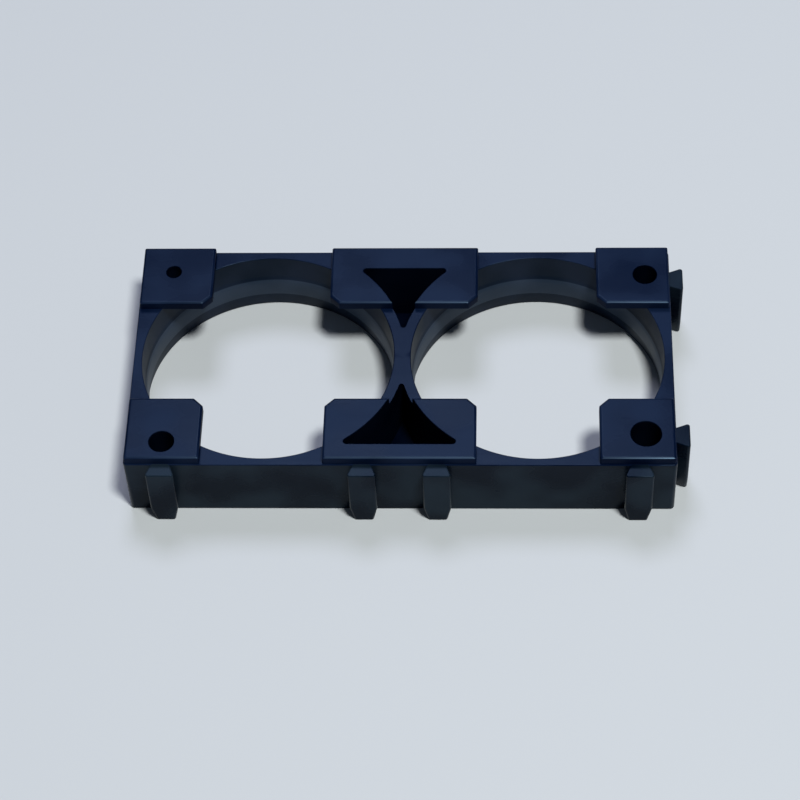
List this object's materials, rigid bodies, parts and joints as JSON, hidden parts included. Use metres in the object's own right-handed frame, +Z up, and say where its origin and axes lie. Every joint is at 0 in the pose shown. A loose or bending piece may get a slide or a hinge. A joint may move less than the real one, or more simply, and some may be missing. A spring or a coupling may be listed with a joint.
{
  "type": "battery cell holder bracket",
  "caption": "Moulded black plastic bracket that holds round battery cells side by side, with retaining pads, strip slots, cored pockets, and dovetail ribs and grooves for joining brackets.",
  "frame": {"origin": "under the middle of the frame, on the flat base that the bracket rests on, halfway between the axes of the cell bores", "axes": "+X along the bracket, from the grooved end to the end with the ribs; +Y to the grooved rear; +Z up, towards the pads and along the bores"},
  "size_m": [0.041, 0.021, 0.0062],
  "materials": {
    "black_plastic": "satin black as moulded, with smoother grip rings in the bores"
  },
  "bodies": {
    "root": {"cell_holder_bracket": "black_plastic"}
  },
  "joints": []
}
